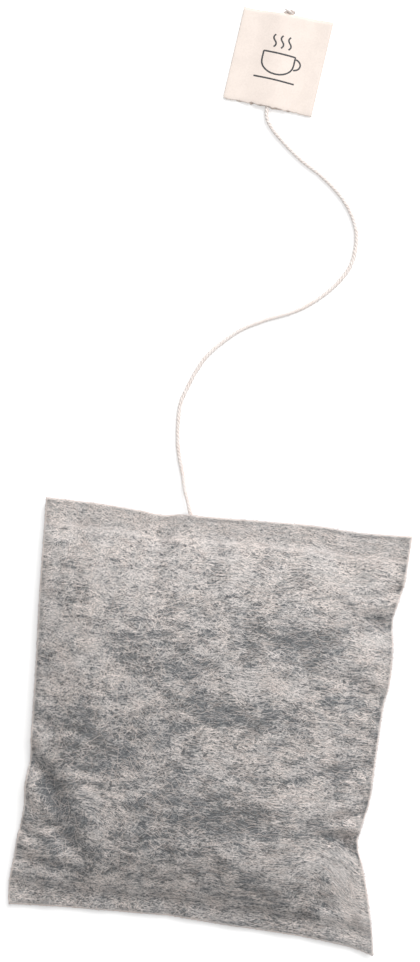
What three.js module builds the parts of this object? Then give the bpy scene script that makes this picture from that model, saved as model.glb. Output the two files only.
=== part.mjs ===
import * as THREE from "three";

// Coffee steeping bag: a pillow of non-woven filter cloth filled with ground coffee and sealed
// across its top and bottom, a cotton string held in the top seal, and a folded card tag that is
// closed round the far end of the string.
// Millimetres. +X runs along the top seal, +Y from the bag to the string, +Z up.
// The bag lies on its back. The origin is the centre of its footprint, on the surface it lies on.

// Filter bag
const BAG_WIDTH = 83.2; // between the furthest points of the two folded sides
const BAG_LENGTH = 93.4; // between the furthest points of the two sealed ends
const FILL_HEIGHT = 10.4; // thickest point of the filled pillow
const CLOTH_EDGE = 0.6; // thickness of a sealed band and of a folded side
const TOP_SEAL = 5.6; // width of the sealed band at the top
const BOTTOM_SEAL = 4.4; // width of the sealed band at the bottom
const SIDE_LIFT = 2.6; // how high the folded sides lie at mid length
const TOP_LIFT = 1.5; // how high the top band lies
const BOTTOM_LIFT = 0.9; // how high the bottom band lies
const REST_SHARE = 0.5; // share of the full thickness from which the back lies flat
const SEAL_PUCKER = 0.35; // height of the gathers that run out of the sealed bands
const PUCKER_REACH = 13; // how far those gathers run into the pillow
const PUCKER_PITCH = 10.5; // distance from one gather to the next
const PUCKER_MAIN_SHARE = 0.65; // share of the height that the main gathers have
const PUCKER_SECOND_RATIO = 1.73; // how many times closer the smaller gathers lie
const TOP_PUCKER_PHASE = 0.4;
const BOTTOM_PUCKER_PHASE = 2.2;
const CROWN_POWER = 0.86; // under 1 puts the thickest place below mid length
const SIDE_FLAT_POWER = 2.6; // how flat the pillow is across its middle
const SIDE_SHOULDER_POWER = 0.62; // how steeply it rises from its folded sides
const END_FLAT_POWER = 2.8; // how flat it is along its middle
const END_SHOULDER_POWER = 0.7; // how steeply it rises from its seals
const SIDE_LIFT_POWER = 3; // how close to the folded sides the back lifts off
const LIFT_POWER = 1.6; // how softly the back leaves the surface
const FOLD_FADE_SHARE = 0.7; // share of a fold's depth lost at its far end
const FOLD_FALLOFF_FACTOR = 2.2; // how sharply a fold's sides rise
const FOLD_LIMIT_SHARE = 0.6; // a fold takes at most this share of the filling's thickness

// Cells of the cloth grid
const CELLS_ACROSS = 36;
const CELLS_ALONG = 36;
const CELLS_TOP_SEAL = 2;
const CELLS_BOTTOM_SEAL = 2;
const COLUMN_BEND_ANGLE = 0.36 * Math.PI; // the larger, the closer the columns at the sides

// String
const STRING_DIAMETER = 0.95;
const STRING_SIDES = 8;
const STRING_STEPS = 76;
const STRING_EXIT = 0.396; // share of the bag's width at which it leaves the top seal
const STRING_TAIL = 1.1; // length that stands out of the tag's far edge
const FIT_GAP = 0.3; // clearance between the string and what it leaves or runs through
const FLOOR_GAP = 0.05; // clearance between the lying string and the surface below
const STRING_DESCENT = 9; // distance from the bag over which it comes down to the surface
const TAG_CLIMB_STEPS = 4; // last points of its route, over which it rises into the tag
const TAG_RUN_SHARES = [0.35, 0.7, 1]; // points of its way through the tag

// Tag
const TAG_WIDTH = 20.1;
const TAG_LENGTH = 21.0;
const TAG_TURN = -7.0; // degrees about Z from the bag's long axis
const TAG_NEAR_SLANT = 1.2; // degrees by which the edge nearest the bag is cut askew
const TAG_FAR_SLANT = 3.3; // degrees by which the far edge is cut askew
const TAG_LEAF = 0.28; // thickness of one leaf of the folded card
const TAG_TENT = 3.4; // how far the upper leaf stands off the lower one, each side of the string
const TAG_TENT_STEPS = 10;
const TAG_FOLD_SEGMENTS = 4;

const BAG_COLOUR = 0xa09c9c;
const STRING_COLOUR = 0xf1ebe2;
const TAG_COLOUR = 0xfdefe6;

// Outline of the bag. Each row is a place along the edge, as a share of its length, and the
// distance there from the furthest point of that edge, in millimetres.
const LEFT_SIDE = [
  [0, 1.6],
  [0.04, 1.2],
  [0.126, 1.7],
  [0.19, 2.2],
  [0.255, 2.8],
  [0.298, 2.4],
  [0.355, 2.9],
  [0.41, 2.7],
  [0.53, 2.2],
  [0.64, 1.7],
  [0.74, 1.1],
  [0.9, 0.45],
  [1, 0],
];
const RIGHT_SIDE = [
  [0, 0],
  [0.04, 0.55],
  [0.1, 1.8],
  [0.155, 3.1],
  [0.22, 4.9],
  [0.258, 6.3],
  [0.31, 5.7],
  [0.355, 4.75],
  [0.43, 4.5],
  [0.53, 4.2],
  [0.598, 3.9],
  [0.64, 3.2],
  [0.74, 3.3],
  [0.798, 3.9],
  [0.84, 3.2],
  [0.87, 2.4],
  [0.926, 1.9],
  [1, 1.6],
];
const TOP_EDGE = [
  [0, 0.2],
  [0.155, 0.35],
  [0.25, 0.8],
  [0.331, 1.3],
  [0.375, 0.6],
  [0.43, 0.65],
  [0.6, 0.2],
  [0.76, 0],
  [0.844, 0.4],
  [1, 0],
];
const BOTTOM_EDGE = [
  [0, 2.6],
  [0.123, 3.2],
  [0.347, 3.7],
  [0.427, 3.9],
  [0.57, 3.3],
  [0.764, 2.7],
  [0.86, 2.1],
  [0.956, 1.0],
  [1, 0],
];

// Folds pressed into the front, each a valley from one place to another. Places are shares of
// the bag's width and length, depth and reach are millimetres.
const FRONT_FOLDS = [
  { from: [0.99, 0.25], to: [0.86, 0.3], depth: 1.5, reach: 3.2 },
  { from: [0.97, 0.6], to: [0.7, 0.71], depth: 0.7, reach: 4.5 },
  { from: [0.98, 0.79], to: [0.76, 0.8], depth: 0.6, reach: 3.4 },
  { from: [0.02, 0.37], to: [0.12, 0.27], depth: 0.8, reach: 3.2 },
  { from: [0.02, 0.25], to: [0.1, 0.19], depth: 0.6, reach: 2.8 },
];

// The string's way from the top seal to the foot of the tag, as millimetres from its exit.
const STRING_ROUTE = [
  [0, 0],
  [-0.4, 0.9],
  [-0.9, 2.5],
  [-1.8, 4.8],
  [-2.7, 8.3],
  [-3.8, 11.8],
  [-4.6, 15.3],
  [-5, 18.8],
  [-5, 24.2],
  [-3.9, 27.8],
  [-2.4, 31.6],
  [-0.4, 35.3],
  [2.9, 38.9],
  [6.4, 41.9],
  [11.4, 44.6],
  [18.2, 47.5],
  [23.1, 50.9],
  [27.1, 55.2],
  [29.3, 59.2],
  [29.8, 64.7],
  [29, 68.2],
  [26.1, 73],
  [20.8, 77.7],
  [15.7, 80.9],
  [11.6, 84.2],
  [8.4, 87.3],
  [7.1, 89.4],
  [6.9, 91.8],
];

// Value at a place on a line of [place, value] rows, on a smooth curve through them.
function curveThrough(rows) {
  const places = rows.map((row) => row[0]);
  const values = rows.map((row) => row[1]);
  const curve = new THREE.CubicInterpolant(places, values, 1);
  return (place) => curve.evaluate(THREE.MathUtils.clamp(place, 0, 1))[0];
}

const leftInset = curveThrough(LEFT_SIDE);
const rightInset = curveThrough(RIGHT_SIDE);
const topInset = curveThrough(TOP_EDGE);
const bottomInset = curveThrough(BOTTOM_EDGE);

// How much of the full thickness the filling gives at a place inside the seals. Across runs
// from -1 to 1 between the folded sides, and along from 0 to 1 between the sealed bands.
function fillShare(across, along) {
  const crown = Math.pow(along, CROWN_POWER) * 2 - 1;
  const acrossRest = Math.max(0, 1 - Math.pow(Math.abs(across), SIDE_FLAT_POWER));
  const alongRest = Math.max(0, 1 - Math.pow(Math.abs(crown), END_FLAT_POWER));
  return Math.pow(acrossRest, SIDE_SHOULDER_POWER) * Math.pow(alongRest, END_SHOULDER_POWER);
}

// Distance in millimetres from a place on the bag, in shares, to a fold's line.
function foldDistance(fold, across, along) {
  const scale = new THREE.Vector2(BAG_WIDTH, BAG_LENGTH);
  const start = new THREE.Vector2(...fold.from).multiply(scale);
  const run = new THREE.Vector2(...fold.to).multiply(scale).sub(start);
  const place = new THREE.Vector2(across, along).multiply(scale).sub(start);
  const share = THREE.MathUtils.clamp(place.dot(run) / run.lengthSq(), 0, 1);
  return { away: place.sub(run.multiplyScalar(share)).length(), share };
}

// Depth of all the folds at a place on the front. A fold is deepest at the side it starts from.
function foldDepth(across, along) {
  let depth = 0;
  for (const fold of FRONT_FOLDS) {
    const { away, share } = foldDistance(fold, across, along);
    const spread = Math.pow(away / fold.reach, 2);
    depth += fold.depth * (1 - FOLD_FADE_SHARE * share) * Math.exp(-FOLD_FALLOFF_FACTOR * spread);
  }
  return depth;
}

// Height of the gathers at a place across the bag, and a distance in from a sealed band.
function gather(x, inward, phase) {
  const turn = (2 * Math.PI * x) / PUCKER_PITCH;
  const main = Math.sin(turn + phase);
  const second = Math.sin(PUCKER_SECOND_RATIO * turn + 2 * phase);
  const wave = PUCKER_MAIN_SHARE * main + (1 - PUCKER_MAIN_SHARE) * second;
  return SEAL_PUCKER * wave * Math.exp(-Math.pow(inward / PUCKER_REACH, 2));
}

// Length along the bag of a row of the grid: the seal lines fall on rows of their own.
function rowLength(row) {
  const pillowRows = CELLS_ALONG - CELLS_BOTTOM_SEAL - CELLS_TOP_SEAL;
  const pillowLength = BAG_LENGTH - BOTTOM_SEAL - TOP_SEAL;
  if (row <= CELLS_BOTTOM_SEAL) return (BOTTOM_SEAL * row) / CELLS_BOTTOM_SEAL;
  if (row >= CELLS_ALONG - CELLS_TOP_SEAL) {
    return BAG_LENGTH - (TOP_SEAL * (CELLS_ALONG - row)) / CELLS_TOP_SEAL;
  }
  return BOTTOM_SEAL + (pillowLength * (row - CELLS_BOTTOM_SEAL)) / pillowRows;
}

// Place across the bag, from -1 to 1, of a column of the grid: columns lie closer at the sides.
function columnPlace(column) {
  const even = (2 * column) / CELLS_ACROSS - 1;
  return Math.sin(even * COLUMN_BEND_ANGLE) / Math.sin(COLUMN_BEND_ANGLE);
}

// Place in plan of a point of the cloth, where the outline's insets fade towards the middle.
function planPlace(across, length) {
  const along = length / BAG_LENGTH;
  const acrossShare = (across + 1) / 2;
  const left = -BAG_WIDTH / 2 + leftInset(along);
  const right = BAG_WIDTH / 2 - rightInset(along);
  const shift = (1 - along) ** 2 * bottomInset(acrossShare) - along ** 2 * topInset(acrossShare);
  return {
    x: THREE.MathUtils.lerp(left, right, acrossShare),
    y: length - BAG_LENGTH / 2 + shift,
  };
}

// Heights of the back and the front of the bag at a place across, and a length along it.
function heights(across, length) {
  const inner = THREE.MathUtils.clamp(
    (length - BOTTOM_SEAL) / (BAG_LENGTH - BOTTOM_SEAL - TOP_SEAL),
    0,
    1,
  );
  const fill = fillShare(across, inner);
  const endLift = THREE.MathUtils.lerp(BOTTOM_LIFT, TOP_LIFT, THREE.MathUtils.smoothstep(inner, 0, 1));
  const sideShare = Math.sin(Math.PI * inner) * Math.pow(Math.abs(across), SIDE_LIFT_POWER);
  const lift = endLift + (SIDE_LIFT - endLift) * sideShare;
  const rise = Math.pow(THREE.MathUtils.clamp(1 - fill / REST_SHARE, 0, 1), LIFT_POWER);
  const back = lift * rise;
  const fromTop = Math.max(0, BAG_LENGTH - TOP_SEAL - length);
  const fromBottom = Math.max(0, length - BOTTOM_SEAL);
  const x = (across * BAG_WIDTH) / 2;
  const wave = gather(x, fromTop, TOP_PUCKER_PHASE) + gather(x, fromBottom, BOTTOM_PUCKER_PHASE);
  const thickness = CLOTH_EDGE + (FILL_HEIGHT - CLOTH_EDGE) * fill;
  const deepest = FOLD_LIMIT_SHARE * (thickness - CLOTH_EDGE);
  const folded = Math.min(foldDepth((across + 1) / 2, length / BAG_LENGTH), deepest);
  const lifted = Math.max(back + wave * rise, 0);
  return { back: lifted, front: lifted + thickness + wave * (1 - rise) - folded };
}

// A closed box of cells, bent into the filled and sealed bag.
function bagGeometry() {
  const geometry = new THREE.BoxGeometry(CELLS_ACROSS, CELLS_ALONG, 1, CELLS_ACROSS, CELLS_ALONG, 1);
  const position = geometry.getAttribute("position");
  for (let i = 0; i < position.count; i++) {
    const column = Math.round(position.getX(i) + CELLS_ACROSS / 2);
    const row = Math.round(position.getY(i) + CELLS_ALONG / 2);
    const across = columnPlace(column);
    const length = rowLength(row);
    const { x, y } = planPlace(across, length);
    const { back, front } = heights(across, length);
    position.setXYZ(i, x, y, position.getZ(i) > 0 ? front : back);
  }
  geometry.computeVertexNormals();
  return geometry;
}

// The point on the top edge that the string leaves, and the height of its centre there.
function stringExit() {
  const across = STRING_EXIT * 2 - 1;
  const { x, y } = planPlace(across, BAG_LENGTH);
  const { back, front } = heights(across, BAG_LENGTH);
  return new THREE.Vector3(x, y, (back + front) / 2);
}

// The place in plan where the string runs into the tag's near edge.
function tagFoot() {
  const exit = stringExit();
  const [x, y] = STRING_ROUTE[STRING_ROUTE.length - 1];
  return new THREE.Vector2(exit.x + x, exit.y + y);
}

// Direction of the string through the tag, and of the tag's own long axis.
function tagAxis() {
  const up = new THREE.Vector3(0, 0, 1);
  return new THREE.Vector3(0, 1, 0).applyAxisAngle(up, THREE.MathUtils.degToRad(TAG_TURN));
}

// Centre line of the string: out of the seal, down to the surface, along it and through the tag.
function stringCurve() {
  const exit = stringExit();
  const lying = STRING_DIAMETER / 2 + FLOOR_GAP;
  const inTag = TAG_LEAF + FIT_GAP + STRING_DIAMETER / 2;
  const last = STRING_ROUTE.length - 1;
  const points = STRING_ROUTE.map(([x, y], i) => {
    const down = THREE.MathUtils.smoothstep(y, 0, STRING_DESCENT);
    const up = THREE.MathUtils.smoothstep(i, last - TAG_CLIMB_STEPS, last);
    const low = THREE.MathUtils.lerp(exit.z, lying, down);
    return new THREE.Vector3(exit.x + x, exit.y + y, THREE.MathUtils.lerp(low, inTag, up));
  });
  points[0].y += FIT_GAP;
  const foot = points[last];
  const axis = tagAxis();
  for (const share of TAG_RUN_SHARES) {
    points.push(foot.clone().addScaledVector(axis, (TAG_LENGTH + STRING_TAIL) * share));
  }
  return new THREE.CatmullRomCurve3(points, false, "centripetal");
}

// A round cord along a curve.
function cordGeometry(curve, diameter) {
  const section = new THREE.Shape();
  section.absarc(0, 0, diameter / 2, 0, 2 * Math.PI);
  return new THREE.ExtrudeGeometry(section, {
    steps: STRING_STEPS,
    curveSegments: STRING_SIDES / 2,
    bevelEnabled: false,
    extrudePath: curve,
  });
}

// Height of the tent that the upper leaf makes over the string, at a distance from its centre.
function tentHeight(x) {
  const height = STRING_DIAMETER + 2 * FIT_GAP;
  return height * Math.pow(Math.cos((Math.PI / 2) * Math.min(1, Math.abs(x) / TAG_TENT)), 2);
}

// The card's two short edges are cut askew, each turned about its middle.
function slantEnds(geometry) {
  const near = Math.tan(THREE.MathUtils.degToRad(TAG_NEAR_SLANT));
  const far = Math.tan(THREE.MathUtils.degToRad(TAG_FAR_SLANT));
  const position = geometry.getAttribute("position");
  for (let i = 0; i < position.count; i++) {
    const y = position.getY(i);
    const slope = THREE.MathUtils.lerp(near, far, y / TAG_LENGTH);
    position.setY(i, y + position.getX(i) * slope);
  }
  geometry.computeVertexNormals();
}

// The folded card from its end: two leaves pressed together, tented over the string's way.
function tagGeometry() {
  const half = TAG_WIDTH / 2;
  const thick = 2 * TAG_LEAF;
  const stations = [];
  for (let i = 0; i <= TAG_TENT_STEPS; i++) {
    stations.push(TAG_TENT - (2 * TAG_TENT * i) / TAG_TENT_STEPS);
  }
  const section = new THREE.Shape();
  section.moveTo(-half + TAG_LEAF, 0);
  section.lineTo(half, 0);
  section.lineTo(half, thick);
  for (const x of stations) {
    section.lineTo(x, thick + tentHeight(x));
  }
  section.lineTo(-half + TAG_LEAF, thick);
  section.absarc(-half + TAG_LEAF, TAG_LEAF, TAG_LEAF, Math.PI / 2, (3 * Math.PI) / 2);
  const tunnel = new THREE.Path();
  stations.forEach((x, i) => {
    const z = TAG_LEAF + tentHeight(x);
    if (i === 0) tunnel.moveTo(x, z);
    else tunnel.lineTo(x, z);
  });
  section.holes.push(tunnel);
  const geometry = new THREE.ExtrudeGeometry(section, {
    depth: TAG_LENGTH,
    steps: 1,
    curveSegments: TAG_FOLD_SEGMENTS,
    bevelEnabled: false,
  });
  geometry.rotateX(Math.PI / 2);
  geometry.translate(0, TAG_LENGTH, 0);
  slantEnds(geometry);
  return geometry;
}

function filterBag() {
  const cloth = new THREE.MeshStandardMaterial({ color: BAG_COLOUR, roughness: 0.9, metalness: 0 });
  const mesh = new THREE.Mesh(bagGeometry(), cloth);
  mesh.name = "filter_bag";
  return mesh;
}

function string() {
  const cotton = new THREE.MeshStandardMaterial({ color: STRING_COLOUR, roughness: 0.95, metalness: 0 });
  const mesh = new THREE.Mesh(cordGeometry(stringCurve(), STRING_DIAMETER), cotton);
  mesh.name = "string";
  return mesh;
}

function tag() {
  const card = new THREE.MeshStandardMaterial({ color: TAG_COLOUR, roughness: 0.7, metalness: 0 });
  const mesh = new THREE.Mesh(tagGeometry(), card);
  mesh.name = "tag";
  const foot = tagFoot();
  mesh.position.set(foot.x, foot.y, 0);
  mesh.rotation.z = THREE.MathUtils.degToRad(TAG_TURN);
  return mesh;
}

// The whole, moved so that the bag's footprint is centred on the origin and its back is at zero.
function steepingBag() {
  const bag = filterBag();
  const laid = new THREE.Group();
  laid.add(bag, string(), tag());
  const box = new THREE.Box3().setFromObject(bag, true);
  const middle = box.getCenter(new THREE.Vector3());
  laid.position.set(-middle.x, -middle.y, -box.min.z);
  const group = new THREE.Group();
  group.add(laid);
  return group;
}

export default steepingBag();
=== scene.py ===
"""Finish of a coffee steeping bag: the filled bag of filter cloth and its loose fibres, the cotton
string, the folded card tag with its print, the camera and the stage. Metres, in the part's frame."""

import math

import bmesh
import bpy
import numpy as np
from mathutils import Matrix, Vector, noise
from mathutils.bvhtree import BVHTree


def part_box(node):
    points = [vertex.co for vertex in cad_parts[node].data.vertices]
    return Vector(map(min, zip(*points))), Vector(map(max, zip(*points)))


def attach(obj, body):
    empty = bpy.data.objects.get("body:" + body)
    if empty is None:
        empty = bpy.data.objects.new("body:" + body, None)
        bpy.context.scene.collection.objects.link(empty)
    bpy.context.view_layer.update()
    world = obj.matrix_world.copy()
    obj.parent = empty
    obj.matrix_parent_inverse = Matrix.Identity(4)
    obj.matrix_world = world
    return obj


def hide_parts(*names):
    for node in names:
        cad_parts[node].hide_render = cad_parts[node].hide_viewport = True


bl_info = {
    "name": "Coffee steeping bag",
    "version": (1, 0, 0),
    "blender": (4, 5, 0),
    "location": "3D View > Sidebar > Steeping Bag",
    "description": "Builds the cloth bag, string, tag and stage of a coffee steeping bag",
    "category": "Add Mesh",
}

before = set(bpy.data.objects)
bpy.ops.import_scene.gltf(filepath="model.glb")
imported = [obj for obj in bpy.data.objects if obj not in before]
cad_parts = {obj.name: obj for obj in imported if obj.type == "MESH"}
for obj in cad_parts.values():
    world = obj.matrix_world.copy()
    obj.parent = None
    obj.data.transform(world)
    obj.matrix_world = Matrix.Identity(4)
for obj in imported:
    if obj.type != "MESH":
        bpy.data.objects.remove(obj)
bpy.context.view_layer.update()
MM = 0.001

# The photograph's view, in millimetres and degrees
VIEW_HEIGHT = 213.8
VIEW_MIDDLE = (-5.9, 54.0)
VIEW_TURN = 6.3
SENSOR = 36.0

# The string's way from the top seal to the foot of the tag, from its exit
STRING_ROUTE = [
    (0.0000, 0.0000),
    (-0.0004, 0.0009),
    (-0.0009, 0.0025),
    (-0.0018, 0.0048),
    (-0.0027, 0.0083),
    (-0.0038, 0.0118),
    (-0.0046, 0.0153),
    (-0.0050, 0.0188),
    (-0.0050, 0.0242),
    (-0.0039, 0.0278),
    (-0.0024, 0.0316),
    (-0.0004, 0.0353),
    (0.0029, 0.0389),
    (0.0064, 0.0419),
    (0.0114, 0.0446),
    (0.0182, 0.0475),
    (0.0231, 0.0509),
    (0.0271, 0.0552),
    (0.0293, 0.0592),
    (0.0298, 0.0647),
    (0.0290, 0.0682),
    (0.0261, 0.0730),
    (0.0208, 0.0777),
    (0.0157, 0.0809),
    (0.0116, 0.0842),
    (0.0084, 0.0873),
    (0.0071, 0.0894),
    (0.0069, 0.0918),
]
TAG_TURN = -7.0
TAG_NEAR_SLANT = math.tan(math.radians(1.2))
TAG_FAR_SLANT = math.tan(math.radians(3.3))

# The string: clearance that its solid keeps at the seal, height above the floor, length held in
# the seal and past the tag, way down from the seal, points of the route over which it climbs into
# the tag, points of its way through the tag, and distance of its points
CAD_FIT_GAP = 0.3 * MM
FLOOR_GAP = 0.02 * MM
HELD_LENGTH = 3.4 * MM
TAIL_LENGTH = 1.0 * MM
STRING_DESCENT = 9 * MM
TAG_CLIMB_STEPS = 4
TAG_RUN_SHARES = (0.35, 0.7, 1.0)
STRING_STEP = 0.22 * MM

# Its plies: radius as a share of the diameter, how uneven they are, and how they part at the tail
PLY_RADIUS_SHARE = 0.29
UNEVEN_LENGTH = 1.7 * MM
UNEVEN_REACH = 0.16
UNEVEN_RADIUS = 0.14
PARTING = 0.5 * MM
PARTING_START = 1.15 * MM
PARTING_END = 0.6 * MM
PARTING_SWELL = 0.7
LEAST_HEIGHT = 0.01 * MM

# The card: reach of the tent over the string and how much it flares at the ends, curl of the far
# corners, thickness left at the torn edge, and its edges' waves as height, length and seed
TENT_REACH = 6.2 * MM
TENT_FLARE = 1.0 * MM
CARD_CURL = 0.35 * MM
TORN_THICKNESS = 0.3
TORN_WAVES = ((0.42 * MM, 0.8 * MM, 3.1), (0.25 * MM, 0.33 * MM, 7.7))
CUT_WAVE = (0.08 * MM, 2 * MM, 1.3)
# Shares of its length at which its points lie, and over which its near edge is thin and ragged,
# its far edge waves and it curls, shares of its width over which it curls, and how much of that
# its lower leaf takes
CARD_STATIONS = (*np.linspace(0, 0.08, 7), *np.linspace(0.14, 0.93, 14), 0.965, 1.0)
THIN_EDGE = (0, 0.03)
RAGGED_EDGE = (0, 0.06)
WAVY_EDGE = (0.9, 1)
CURLED_LENGTH = (0.6, 1)
CURLED_WIDTH = (0.3, 0.5)
LOWER_CURL = 0.35


def smooth(value, low, high):
    """A smooth step from 0 at low to 1 at high, for numbers and arrays."""
    share = np.clip((np.asarray(value, float) - low) / (high - low), 0, 1)
    return share * share * (3 - 2 * share)


def add_node(tree, kind, inputs=None, **settings):
    """Adds a node, sets its properties, and sets or links its inputs by name or number."""
    made = tree.nodes.new(kind)
    for name, value in settings.items():
        setattr(made, name, value)
    for key, value in (inputs or {}).items():
        if isinstance(value, bpy.types.NodeSocket):
            tree.links.new(value, made.inputs[key])
        else:
            made.inputs[key].default_value = value
    return made


def math_node(tree, operation, first, second=0.0):
    """The output of a Math node on one or two values or sockets."""
    return add_node(tree, "ShaderNodeMath", {0: first, 1: second}, operation=operation).outputs[0]


def product(tree, *factors):
    """The product of values or sockets."""
    result = factors[0]
    for factor in factors[1:]:
        result = math_node(tree, "MULTIPLY", result, factor)
    return result


def weigh(tree, first, first_share, second, second_share):
    """The sum of two values, each times its share."""
    return math_node(tree, "ADD", product(tree, first, first_share), product(tree, second, second_share))


def mix_values(tree, share, first, second):
    """The number between two numbers or sockets."""
    inputs = {"Factor": share, 2: first, 3: second}
    return add_node(tree, "ShaderNodeMix", inputs, data_type="FLOAT").outputs[0]


def mix_vectors(tree, share, first, second):
    """The vector between two vectors or sockets."""
    inputs = {"Factor": share, 4: first, 5: second}
    return add_node(tree, "ShaderNodeMix", inputs, data_type="VECTOR").outputs[1]


def mix_colours(tree, share, first, second):
    """The colour between two colours or sockets."""
    inputs = {"Factor": share, 6: first, 7: second}
    return add_node(tree, "ShaderNodeMix", inputs, data_type="RGBA").outputs[2]


def tinted(colour, tint=1.0):
    """An opaque colour, times one number or one for each channel."""
    return (*(np.array(colour) * tint), 1)


def stretch_range(tree, value, low, high, to_low=0.0, to_high=1.0):
    """A value mapped smoothly from one range to another, and held inside it."""
    inputs = {"Value": value, "From Min": low, "From Max": high, "To Min": to_low, "To Max": to_high}
    return add_node(tree, "ShaderNodeMapRange", inputs, interpolation_type="SMOOTHSTEP").outputs[0]


def add_socket(group, name, direction, kind, default=None):
    """A named input or output of a node group."""
    made = group.interface.new_socket(name=name, in_out=direction, socket_type=kind)
    if default is not None:
        made.default_value = default
    return made


def finish_piece(name, vertices, faces, material, smooth_faces=True):
    """A mesh object at the origin from points and faces, with one material."""
    mesh = bpy.data.meshes.new(name)
    mesh.from_pydata([tuple(v) for v in vertices], [], faces)
    mesh.validate()
    mesh.polygons.foreach_set("use_smooth", [smooth_faces] * len(mesh.polygons))
    if material:
        mesh.materials.append(material)
    piece = bpy.data.objects.new(name, mesh)
    bpy.context.scene.collection.objects.link(piece)
    return piece


def face_outwards(piece):
    """Turns the faces of a closed mesh outwards."""
    bm = bmesh.new()
    bm.from_mesh(piece.data)
    bmesh.ops.recalc_face_normals(bm, faces=bm.faces)
    bm.to_mesh(piece.data)
    bm.free()


def new_material(name, **constants):
    """An empty node material with its Principled BSDF, whose constant sockets are set by name."""
    material = bpy.data.materials.new(name)
    material.use_nodes = True
    shader = material.node_tree.nodes["Principled BSDF"]
    for key, value in constants.items():
        shader.inputs[key.replace("_", " ")].default_value = value
    return material, material.node_tree, shader


def vector_math(tree, operation, first, second=None, scale=None):
    """The output of a Vector Math node on vectors or sockets."""
    inputs = {0: first}
    if second is not None:
        inputs[1] = second
    if scale is not None:
        inputs["Scale"] = scale
    return add_node(tree, "ShaderNodeVectorMath", inputs, operation=operation).outputs[0]


def noise_node(tree, vector, scale, detail, roughness=0.5, stretch=1.0, output="Fac"):
    """Noise over a surface, with lumps stretched along X."""
    if stretch != 1.0:
        vector = vector_math(tree, "MULTIPLY", vector, (1 / stretch, 1, 1))
    inputs = {"Vector": vector, "Scale": scale, "Detail": detail, "Roughness": roughness}
    return add_node(tree, "ShaderNodeTexNoise", inputs).outputs[output]


def surface_value(tree, name, output="Fac"):
    """A value stored on the mesh, for a material."""
    return add_node(tree, "ShaderNodeAttribute", attribute_name=name).outputs[output]


def add_relief(tree, shader, height, distance, strength):
    """Fine bumps on a material's surface."""
    inputs = {"Height": height, "Distance": distance, "Strength": strength}
    bump = add_node(tree, "ShaderNodeBump", inputs)
    tree.links.new(bump.outputs["Normal"], shader.inputs["Normal"])


def random_value(tree, low, high, seed):
    """A random number for each element, between two numbers."""
    return add_node(tree, "FunctionNodeRandomValue", {2: low, 3: high, "Seed": seed}).outputs[1]


def named_value(tree, name):
    """A number stored on the mesh, for Geometry Nodes."""
    return add_node(tree, "GeometryNodeInputNamedAttribute", {"Name": name}).outputs[0]


def sample_surface(tree, mesh, kind, place):
    """The position or normal of the mesh's nearest surface to a place."""
    value = add_node(tree, "GeometryNodeInput" + kind).outputs[0]
    inputs = {"Mesh": mesh, "Value": value, "Sample Position": place}
    return add_node(
        tree, "GeometryNodeSampleNearestSurface", inputs, data_type="FLOAT_VECTOR"
    ).outputs[0]


FIBRE_INPUTS = {
    "Density": 0.4e6, "Length": 4.0 * MM, "Width": 0.12 * MM, "Curl": 0.6 * MM, "Lift": 0.03 * MM,
    "Rise": 0.0, "Seed": 0,
}
# How strewn fibres differ: turn either way in radians and what combing takes from it, lean of the
# risen ones, shares of the given length, least share of the given lift and what comes on top,
# and size of their bends
LOOSE_TURN = 1.65
COMBED_TURN = 1.35
LEAN = 0.8
LENGTH_SHARES = (0.45, 1.5)
LEAST_LIFT = 0.5
MORE_LIFT = 1.5
BEND_SCALE = 400.0
BEND_SPREAD = 40.0
POINTS_ALONG = 7
LENGTH_SEED = 11
TONE_SEED = 23


def fibre_rotation(tree, given, normal):
    """How each fibre lies: along X with some turn, or standing up from the surface."""
    chance = random_value(tree, -1.0, 1.0, given["Seed"])
    combing = product(tree, named_value(tree, "combed"), COMBED_TURN)
    turn = product(tree, chance, math_node(tree, "SUBTRACT", LOOSE_TURN, combing))
    turn = math_node(tree, "ADD", turn, named_value(tree, "sweep"))
    inputs = {"X": math_node(tree, "COSINE", turn), "Y": math_node(tree, "SINE", turn)}
    flat = add_node(tree, "ShaderNodeCombineXYZ", inputs).outputs[0]
    upright = vector_math(tree, "ADD", normal, vector_math(tree, "SCALE", flat, scale=LEAN))
    inputs = {
        "Primary Axis": mix_vectors(tree, given["Rise"], normal, (0, 0, 1)),
        "Secondary Axis": mix_vectors(tree, given["Rise"], flat, upright),
    }
    return add_node(
        tree, "FunctionNodeAxesToRotation", inputs, primary_axis="Z", secondary_axis="X"
    ).outputs[0]


def bend_fibres(tree, fibres, given, place):
    """The fibres bent by smooth noise, each in its own way."""
    own = product(tree, named_value(tree, "tone"), BEND_SPREAD)
    inputs = {"Vector": place, "W": own, "Scale": BEND_SCALE, "Detail": 1.0}
    drift = add_node(tree, "ShaderNodeTexNoise", inputs, noise_dimensions="4D").outputs["Color"]
    drift = vector_math(tree, "SUBTRACT", drift, (0.5, 0.5, 0.5))
    inputs = {"Geometry": fibres, "Offset": vector_math(tree, "SCALE", drift, scale=given["Curl"])}
    return add_node(tree, "GeometryNodeSetPosition", inputs).outputs[0]


def lay_fibres(tree, fibres, given, place, mesh):
    """The fibres laid close over the mesh, as far as they don't rise from it."""
    surface = sample_surface(tree, mesh, "Position", place)
    outward = sample_surface(tree, mesh, "Normal", place)
    above = product(tree, named_value(tree, "tone"), MORE_LIFT)
    above = product(tree, math_node(tree, "ADD", above, LEAST_LIFT), given["Lift"])
    laid = vector_math(tree, "ADD", surface, vector_math(tree, "SCALE", outward, scale=above))
    inputs = {"Geometry": fibres, "Position": mix_vectors(tree, given["Rise"], laid, place)}
    return add_node(tree, "GeometryNodeSetPosition", inputs).outputs[0]


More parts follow.
